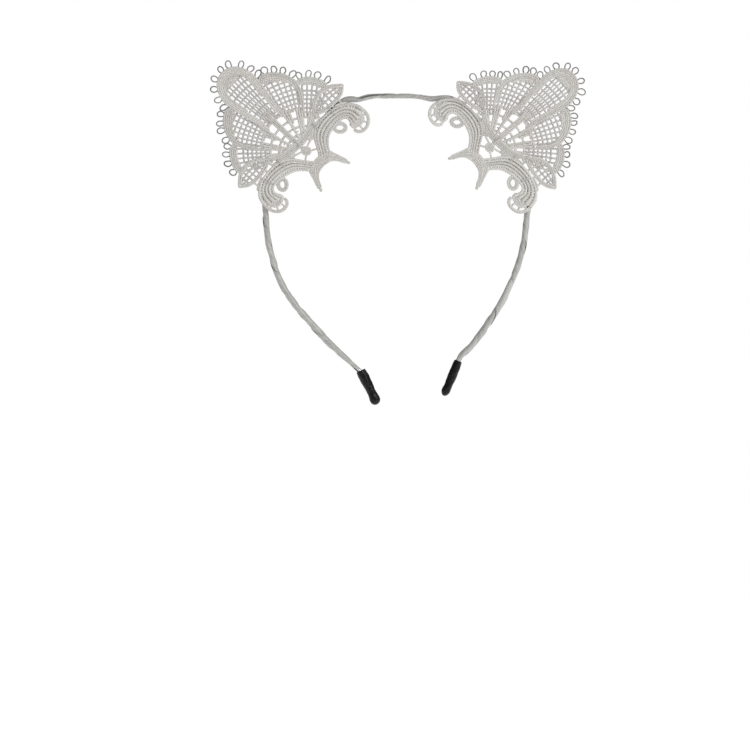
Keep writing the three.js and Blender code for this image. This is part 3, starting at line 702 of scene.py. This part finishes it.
def wound_ribbon(name, first, last):
    """The satin ribbon, wound in lapped turns from one distance along the band to another."""
    per_turn, cols = 54, 29
    turns = (last - first) / TURN
    tau = np.linspace(0, turns, int(turns * per_turn) + 1)[:, None]
    c = np.linspace(0, 1, cols)[None, :]
    whole = first / TURN + tau
    drift = 0.9 * np.sin(whole * 4.1) + 0.7 * np.sin(whole * 1.7 + 1.0)
    s = first + TURN * tau + (TURN + LAP) * (1 - c) - LAP + drift
    s = np.clip(s, 0.0, band.length - 0.01)
    angle = 2 * math.pi * whole
    over = step_down(c, 0.25, 0.05)
    pleat = step_down(c, 0.5 + 0.05 * np.sin(whole * 5.3), 0.012) - step_down(c, 0.32, 0.05)
    lift = SKIN + LAP_RISE * over + PLEAT_RISE * pleat
    swell = 0.2 * np.sin(whole * 6.9 + 1.3) * np.sin(whole * 2.9) + 0.12 * np.sin(whole * 13.7)
    reach = band.length / 2
    free = np.interp(np.abs(s - band.middle), (reach - 16, reach - 8), (1.0, 0.0))  # 0 inside a cap
    around = (angle + math.pi) % (2 * math.pi) - math.pi
    beyond = s - band.middle + TUCK_PLACE
    aside = (around + TUCK_ANGLE - 0.02 * beyond) / TUCK_SPREAD
    tuck = np.exp(-((beyond / TUCK_HALF) ** 4) - aside**4)
    a, b = superellipse(angle, half_thickness(s), HALF_DEPTH - 0.55 * (1 - free), 2.3)
    grow = 1 + (lift + (creases(whole, c) + swell) * free - TUCK_DEEP * tuck) / np.hypot(a, b)
    points = band.place(s, a * grow, b * grow)
    # painted shade: this value is 1 in the tuck, whose shadow the satin paints dark; elsewhere it changes
    # from turn to turn and darkens some turns a little
    turn_tone_and_tuck_shade = (0.4 + 0.4 * np.sin(whole * 3.3 + 0.8 * np.sin(whole))) * (1 - tuck) + tuck
    corner = np.stack(np.broadcast_arrays(whole * 16.0, c, turn_tone_and_tuck_shade), -1)
    piece = grid_object(name, points, corner=corner)
    cloth = piece.modifiers.new("cloth", "SOLIDIFY")
    cloth.thickness = CLOTH * MM
    cloth.offset = 1
    return piece


def swept_strip(name, first, last):
    """The spring-steel strip inside the ribbon, with its long edges rolled round and its ends shut."""
    sides = 16
    s = np.append(np.arange(first, last, 0.8), last)[:, None]
    angle = np.linspace(0, 2 * math.pi, sides + 1)[None, :-1]
    a, b = superellipse(angle, STRIP_HALF, STRIP_HALF_DEPTH, 6)
    centre = band.place(s[[0, -1], 0], 0.0, 0.0)
    points = band.place(*np.broadcast_arrays(s, a, b))
    shut = [np.broadcast_to(c, (1, sides, 3)) for c in centre]
    return grid_object(name, np.concatenate([shut[0], points, shut[1]]), closed_across=True)


CAP_LENGTH, CAP_GRIP = 18.2, 8.5  # its length, and how much of it is on the band
CAP_DEPTH = 1.3  # front to back over width
CAP_BOW = 0.16
SOCKET = [(0.01, 9.4), (1.2, 9.3), (1.68, 8.6), (1.72, 5.0), (1.75, 1.0)]  # half-width, depth
CAPS = {  # distance from the mouth and half-width, down to the rounded end, as the rubber settled
    "left": (
        (0.9, 2.28), (3.4, 2.55), (6.8, 2.48), (9.4, 2.22), (11.4, 2.1), (13.4, 2.32), (15.4, 2.55),
        (16.9, 2.2),
    ),
    "right": (
        (0.9, 1.92), (3.6, 2.12), (7.6, 2.24), (10.4, 2.06), (12.6, 1.96), (14.6, 2.12), (16.0, 2.06),
        (17.1, 1.6),
    ),
}


def end_cap(side):
    """A dipped rubber cap, slightly waisted, with a rolled mouth and a blind socket for the band's end."""
    (px, pz), (ex, ez) = (LEFT_LINE if side == "left" else RIGHT_LINE)[-2:]
    axis = np.array([ex - px, 0, ez - pz])
    axis /= np.linalg.norm(axis)
    mouth = np.array([ex, 0, ez]) - CAP_GRIP * axis
    cross = np.cross(axis, [0, 1, 0])
    widths = CAPS[side]
    lip, end = widths[0][1], widths[-1][1]
    rolled = [(lip - 0.34, -0.02), (lip - 0.12, 0.1)]
    side_wall = [(r, h) for h, r in widths]
    nose = [(end * 0.6, CAP_LENGTH - 0.32), (end * 0.28, CAP_LENGTH - 0.05), (0.01, CAP_LENGTH)]
    profile = smooth_path(SOCKET + rolled + side_wall + nose)[:, :2]
    angle = np.linspace(0, 2 * math.pi, 49)[None, :-1]
    r, h = np.maximum(profile[:, :1], 0.01), profile[:, 1:]
    skin = np.clip((r - 1.78) / 0.2, 0, 1)  # 1 on the outside, 0 in the socket
    wobble = 0.02 * np.sin(2 * angle + h * 0.8) + 0.014 * np.sin(3 * angle - h * 1.3)
    wobble += 0.012 * np.sin(5 * angle + h * 2.1)
    dent = 1 + skin * wobble
    bow = CAP_BOW * np.sin(h / CAP_LENGTH * math.pi)
    x = (r * dent * np.cos(angle) + bow)[..., None] * cross
    y = (r * dent * CAP_DEPTH * np.sin(angle))[..., None] * np.array([0, 1.0, 0])
    points = (mouth + x + y + h[..., None] * axis) * MM
    piece = grid_object(f"rubber_cap_{side}", points[::-1], closed_across=True)
    smooth = piece.modifiers.new("smooth", "SUBSURF")
    smooth.levels = smooth.render_levels = 1
    return piece


# ---------- the tacks ----------

CAD_THREAD = 0.5  # diameter of the CAD's thread
TACK_BACK, TACK_FRONT = HALF_DEPTH + 0.4, -4.05  # y of a loop's back and front


def tack_outline():
    """Points round one loop: across the band, as a share of its half-width, and front to back in mm."""
    rear = [(-1, -0.7), (-0.86, -0.12), (-0.6, 0), (0.6, 0), (0.86, -0.12), (1, -0.7)]
    fore = [(1, 0.5), (0.84, 0.08), (0.5, 0), (-0.5, 0), (-0.84, 0.08), (-1, 0.5)]
    return [(a, TACK_BACK + y) for a, y in rear] + [(a, TACK_FRONT + y) for a, y in fore]


def tack_thread(node, name):
    """Two turns of doubled thread round the band and through the lace, where the CAD's loop is."""
    co = np.array([v.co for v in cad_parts[node].data.vertices]) / MM
    middle = (co.min(0) + co.max(0)) / 2
    _, _, axes = np.linalg.svd(co - co.mean(0), full_matrices=False)
    along = axes[2]
    across = np.cross(along, [0, 1, 0])
    across /= np.linalg.norm(across)
    span = (co - middle) @ across
    half = (span.max() - span.min()) / 2 - CAD_THREAD / 2
    foot = middle * np.array([1, 0, 1])
    threads = Threads(sides=8)
    for shift in (-0.24, 0.24):
        loop = []
        for a, y in tack_outline():
            slant = along * (shift + 0.12 * a)
            loop.append(foot + across * a * half + np.array([0, y, 0]) + slant)
        line = smooth_path(np.array(loop), closed=True)
        threads.add(line, 0.17, closed=True, up=along)
    return threads.mesh(name, lambda p: p * MM)


# ---------- materials ----------


class Material:
    """A Principled material and short calls for the nodes that drive it."""

    def __init__(self, name, **constants):
        self.made = bpy.data.materials.new(name)
        self.made.use_nodes = True
        self.tree = self.made.node_tree
        self.shader = next(n for n in self.tree.nodes if n.type == "BSDF_PRINCIPLED")
        for socket, value in constants.items():
            self.shader.inputs[socket.replace("_", " ")].default_value = value

    def node(self, kind, **settings):
        made = self.tree.nodes.new(kind)
        for key, value in settings.items():
            setattr(made, key, value)
        return made

    def link(self, source, target):
        if isinstance(source, (int, float)):
            target.default_value = source
        else:
            self.tree.links.new(source, target)

    def math(self, operation, a, b=0.0):
        node = self.node("ShaderNodeMath", operation=operation)
        self.link(a, node.inputs[0])
        self.link(b, node.inputs[1])
        return node.outputs[0]

    def thread(self):
        """How far along a thread, in mm, how far round or across it, and its own number, or on the ribbon
        its tone and painted tuck shade.
        """
        attribute = self.node("ShaderNodeAttribute", attribute_name="thread")
        parts = self.node("ShaderNodeSeparateXYZ")
        self.link(attribute.outputs["Vector"], parts.inputs[0])
        return parts.outputs[0], parts.outputs[1], parts.outputs[2]

    def stripes(self, *terms):
        """A wave from 0 to 1 whose phase is the sum of value times count."""
        total = 0.0
        for value, count in terms:
            total = self.math("ADD", self.math("MULTIPLY", value, count * 2 * math.pi), total)
        return self.math("ADD", self.math("MULTIPLY", self.math("SINE", total), 0.5), 0.5)

    def noise(self, scale, detail=3.0, vector=None, rough=0.5):
        node = self.node("ShaderNodeTexNoise")
        node.inputs["Scale"].default_value = scale
        node.inputs["Detail"].default_value = detail
        node.inputs["Roughness"].default_value = rough
        if vector is None:
            vector = self.node("ShaderNodeTexCoord").outputs["Object"]
        self.link(vector, node.inputs["Vector"])
        return node.outputs["Fac"]

    def ramp(self, value, *stops):
        node = self.node("ShaderNodeValToRGB")
        while len(node.color_ramp.elements) < len(stops):
            node.color_ramp.elements.new(0.5)
        for element, (place, colour) in zip(node.color_ramp.elements, stops):
            element.position = place
            element.color = (*colour, 1)
        self.link(value, node.inputs[0])
        return node.outputs[0]

    def mix(self, share, a, b, blend="MIX"):
        node = self.node("ShaderNodeMix", data_type="RGBA", blend_type=blend)
        self.link(share, node.inputs[0])
        for colour, socket in ((a, node.inputs[6]), (b, node.inputs[7])):
            if isinstance(colour, tuple):
                socket.default_value = (*colour, 1)
            else:
                self.link(colour, socket)
        return node.outputs[2]

    def bump(self, height, distance, strength=1.0, under=None):
        node = self.node("ShaderNodeBump")
        node.inputs["Distance"].default_value = distance
        node.inputs["Strength"].default_value = strength
        self.link(height, node.inputs["Height"])
        if under is not None:
            self.link(under, node.inputs["Normal"])
        return node.outputs[0]

    def finish(self, colour, roughness, normal):
        self.link(colour, self.shader.inputs["Base Color"])
        self.link(roughness, self.shader.inputs["Roughness"])
        self.link(normal, self.shader.inputs["Normal"])
        return self.made


def thread_material(name, painted_groove_shade, light, tint, rough, wraps=2.7, sheen=0.25):
    """Twisted yarn: slanting wraps with painted shade in their grooves, fine fibres, and patches of slightly
    warmer tone.
    """
    m = Material(name, Sheen_Weight=sheen, Sheen_Roughness=0.45, IOR=1.5)
    m.shader.inputs["Specular IOR Level"].default_value = 0.35
    along, around, seed = m.thread()
    wrap = m.stripes((along, wraps), (around, 1.0))
    ply = m.stripes((along, 0.5), (around, 9.0))
    patch = m.noise(95, 2.0)
    fine = m.noise(1400, 2.0)
    base = m.mix(m.ramp(patch, (0.38, (0, 0, 0)), (0.64, (1, 1, 1))), light, tint)
    # painted shade: the colour darkens towards the first colour in the wraps' grooves, where shade falls in
    # the twist
    groove = m.math("POWER", wrap, 0.7)
    shade = m.math("MULTIPLY", groove, m.math("ADD", m.math("MULTIPLY", ply, 0.25), 0.75))
    colour = m.mix(m.math("SUBTRACT", 1.0, shade), base, painted_groove_shade)
    vary = m.math("ADD", m.math("MULTIPLY", seed, 0.16), 0.92)
    grey = m.node("ShaderNodeCombineColor")
    for k in range(3):
        m.link(vary, grey.inputs[k])
    colour = m.mix(1.0, colour, grey.outputs[0], "MULTIPLY")
    roughness = m.math("ADD", m.math("MULTIPLY", fine, 0.2), rough)
    normal = m.bump(wrap, 0.00007)
    normal = m.bump(ply, 0.00002, 0.7, normal)
    normal = m.bump(fine, 0.00003, 0.6, normal)
    return m.finish(colour, roughness, normal)


def ribbon_material():
    """Satin: long floats that run with the ribbon, painted as lighter sheen streaks; creases where it was
    pulled, with painted shade in their hollows; and painted shade in the tuck.
    """
    m = Material("satin_ribbon", Sheen_Weight=0.2, Sheen_Roughness=0.35)
    m.shader.inputs["Anisotropic"].default_value = 0.55
    m.shader.inputs["Anisotropic Rotation"].default_value = 0.25
    m.shader.inputs["Specular IOR Level"].default_value = 0.55
    along, across, turn_tone_and_tuck_shade = m.thread()
    place = m.node("ShaderNodeCombineXYZ")
    m.link(m.math("MULTIPLY", along, 0.12), place.inputs[0])
    m.link(m.math("MULTIPLY", across, 9.0), place.inputs[1])
    crease_bump_and_shade = m.noise(1.6, 3.0, place.outputs[0])
    long = m.node("ShaderNodeCombineXYZ")
    m.link(m.math("MULTIPLY", along, 0.5), long.inputs[0])
    m.link(m.math("MULTIPLY", across, 60.0), long.inputs[1])
    float_streak_and_sheen = m.noise(2.0, 2.0, long.outputs[0])
    weave = m.stripes((across, 46.0))
    edge = m.math("GREATER_THAN", m.math("ABSOLUTE", m.math("SUBTRACT", across, 0.5)), 0.47)
    patch = m.noise(60, 2.0)
    cloudy = m.ramp(patch, (0.35, (0, 0, 0)), (0.65, (1, 1, 1)))
    base = m.mix(cloudy, (0.335, 0.333, 0.316), (0.3, 0.294, 0.28))
    # painted shade: near black in the tuck, and a little darker on some turns
    depth = m.ramp(turn_tone_and_tuck_shade, (0.0, (0, 0, 0)), (0.8, (0.16, 0.16, 0.16)), (0.93, (1, 1, 1)))
    # painted shade: darker in the hollows of the pulled creases
    colour = m.mix(m.ramp(crease_bump_and_shade, (0.4, (0.8, 0.8, 0.8)), (0.6, (0, 0, 0))), base, (0.22, 0.217, 0.21))
    colour = m.mix(m.math("MULTIPLY", edge, 0.3), colour, (0.45, 0.44, 0.42))
    # painted sheen: lighter lengthwise streaks along the satin's floats; the same noise also varies the
    # roughness
    colour = m.mix(m.math("MULTIPLY", float_streak_and_sheen, 0.25), colour, (0.5, 0.495, 0.48))
    colour = m.mix(depth, colour, (0.085, 0.084, 0.08))
    roughness = m.math("ADD", m.math("MULTIPLY", float_streak_and_sheen, 0.22), 0.3)
    normal = m.bump(crease_bump_and_shade, 0.0004, 0.8)
    normal = m.bump(weave, 0.00002, 0.5, normal)
    normal = m.bump(edge, 0.00008, 0.6, normal)
    return m.finish(colour, roughness, normal)


def rubber_material():
    """Dipped black rubber: uneven half gloss, faint scuffs."""
    m = Material("black_rubber", IOR=1.45)
    m.shader.inputs["Specular IOR Level"].default_value = 0.2
    grain = m.noise(2600, 3.0, rough=0.6)
    cloud = m.noise(260, 3.0)
    scuff = m.ramp(m.noise(700, 5.0, rough=0.7), (0.55, (0, 0, 0)), (0.75, (1, 1, 1)))
    colour = m.mix(cloud, (0.0008, 0.001, 0.0014), (0.003, 0.0034, 0.0042))
    colour = m.mix(m.math("MULTIPLY", scuff, 0.14), colour, (0.03, 0.03, 0.032))
    roughness = m.math("ADD", m.math("MULTIPLY", cloud, 0.2), 0.3)
    normal = m.bump(cloud, 0.0012, 1.0)
    normal = m.bump(grain, 0.00003, 0.4, normal)
    return m.finish(colour, roughness, normal)


def steel_material():
    """Bright spring steel with rolling marks."""
    m = Material("spring_steel", Metallic=1.0, Anisotropic=0.6)
    place = m.node("ShaderNodeTexCoord").outputs["Object"]
    stretch = m.node("ShaderNodeMapping")
    stretch.inputs["Scale"].default_value = (1, 14, 1)
    m.link(place, stretch.inputs["Vector"])
    lines = m.noise(900, 4.0, stretch.outputs[0])
    cloud = m.noise(70, 3.0)
    colour = m.mix(cloud, (0.46, 0.47, 0.49), (0.6, 0.6, 0.61))
    roughness = m.math("ADD", m.math("MULTIPLY", lines, 0.25), 0.2)
    return m.finish(colour, roughness, m.bump(lines, 0.00003, 0.6))


# Each yarn's painted shade in its grooves, its colour on its ridges and in its warmer patches, then its
# roughness.
LACE = thread_material(
    "lace_cord", (0.33, 0.322, 0.302), (0.58, 0.573, 0.54), (0.56, 0.525, 0.497), 0.62
)
NET = thread_material(
    "lace_net", (0.29, 0.283, 0.268), (0.53, 0.523, 0.495), (0.51, 0.482, 0.46), 0.55, wraps=3.2
)
LOOP = thread_material(
    "lace_loop", (0.07, 0.07, 0.068), (0.3, 0.3, 0.29), (0.22, 0.22, 0.21), 0.42, wraps=3.2, sheen=0.1
)
SEWING = thread_material(
    "sewing_thread", (0.32, 0.31, 0.3), (0.6, 0.59, 0.56), (0.56, 0.54, 0.52), 0.5, wraps=3.4
)
SATIN, RUBBER, STEEL = ribbon_material(), rubber_material(), steel_material()

# ---------- the pieces ----------

SEEDS = {"left": 11, "right": 12}

for side in ("left", "right"):
    body = f"{side}_side"
    rng = np.random.default_rng(SEEDS[side])
    place = ear_place(side)
    cords, net, loops = Threads(8), Threads(6), Threads(8)
    rim_cords(cords)
    fan_cords(cords)
    arch_cords(cords)
    joining_cords(cords)
    ring_cords(cords)
    curl_rims(cords)
    zigzag(cords)
    curl_cores(cords)
    stems(cords)
    medallion(cords)
    net_threads(net)
    edge_loops(loops)
    for threads, name, material in ((cords, "cords", LACE), (net, "net", NET), (loops, "edge_loops", LOOP)):
        piece = threads.mesh(f"lace_{name}_{side}", place)
        piece.data.materials.append(material)
        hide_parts(f"{side}_ear_lace")
        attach(piece, body)
    for k in range(1, 6):
        piece = tack_thread(f"{side}_tack_{k}", f"tack_{side}_{k}")
        piece.data.materials.append(SEWING)
        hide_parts(f"{side}_tack_{k}")
        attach(piece, body)
    cap = end_cap(side)
    cap.data.materials.append(RUBBER)
    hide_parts(f"{side}_cap")
    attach(cap, body)
    ends = (0.0, band.middle) if side == "left" else (band.middle, band.length)
    ribbon = wound_ribbon(f"ribbon_{side}", *ends)
    ribbon.data.materials.append(SATIN)
    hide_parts(f"{side}_ribbon", "crown_ribbon")
    strip = swept_strip(f"spring_strip_{side}", *ends)
    strip.data.materials.append(STEEL)
    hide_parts(f"{side}_strip", "crown_strip")
    for piece in (ribbon, strip):
        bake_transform(piece)

# ---------- floor and light ----------

FLOOR_HALF, FLOOR_DROP = 6.0, 0.35  # half the floor's size, and how far below the headband it is
SURROUND = 0.62  # how brightly the surround lights the object; it shows as white
MIRRORED_DROP = 0.38  # how much darker the surround is in reflections, as dark walls behind a camera are
AIM = Vector((0, 0, -0.06))
LAMPS = (  # name, place, size, watts
    ("key", (1.15, -1.0, 0.85), 0.45, 21.0),
    ("fill", (-1.2, -1.3, 0.1), 0.9, 1.5),
)


def make_floor():
    low, _ = CAD_BOX
    z = low[2] - FLOOR_DROP
    corners = [(FLOOR_HALF * x, FLOOR_HALF * y, z) for x, y in ((-1, -1), (1, -1), (1, 1), (-1, 1))]
    data = bpy.data.meshes.new("floor")
    data.from_pydata(corners, [], [(0, 1, 2, 3)])
    floor = bpy.data.objects.new("floor", data)
    bpy.context.collection.objects.link(floor)
    m = Material("pale_floor", Roughness=0.9)
    m.shader.inputs["Base Color"].default_value = (0.9, 0.9, 0.9, 1)
    m.shader.inputs["Emission Color"].default_value = (1, 1, 1, 1)
    m.shader.inputs["Emission Strength"].default_value = 0.6
    floor.data.materials.append(m.made)


def make_light():
    """A white surround, a key light from the upper right and a weak fill from the left."""
    scene = bpy.context.scene
    world = bpy.data.worlds.new("studio")
    scene.world = world
    world.use_nodes = True
    tree = world.node_tree
    surround = tree.nodes["Background"]
    surround.inputs["Color"].default_value = (1, 1, 1, 1)
    seen = tree.nodes.new("ShaderNodeLightPath")
    strength = tree.nodes.new("ShaderNodeMapRange")
    strength.inputs["To Min"].default_value = SURROUND
    strength.inputs["To Max"].default_value = 1.0
    tree.links.new(seen.outputs["Is Camera Ray"], strength.inputs["Value"])
    mirrored = tree.nodes.new("ShaderNodeMath")
    mirrored.operation = "MULTIPLY_ADD"
    mirrored.inputs[1].default_value = -MIRRORED_DROP
    tree.links.new(seen.outputs["Is Glossy Ray"], mirrored.inputs[0])
    tree.links.new(strength.outputs[0], mirrored.inputs[2])
    tree.links.new(mirrored.outputs[0], surround.inputs["Strength"])
    for name, spot, size, power in LAMPS:
        data = bpy.data.lights.new(name, "AREA")
        data.size, data.energy = size, power
        lamp = bpy.data.objects.new(name, data)
        lamp.location = spot
        aim = AIM - Vector(spot)
        lamp.rotation_euler = aim.to_track_quat("-Z", "Y").to_euler()
        bpy.context.collection.objects.link(lamp)
    scene.view_settings.view_transform = "Standard"
    scene.view_settings.look = "None"


make_floor()
make_light()
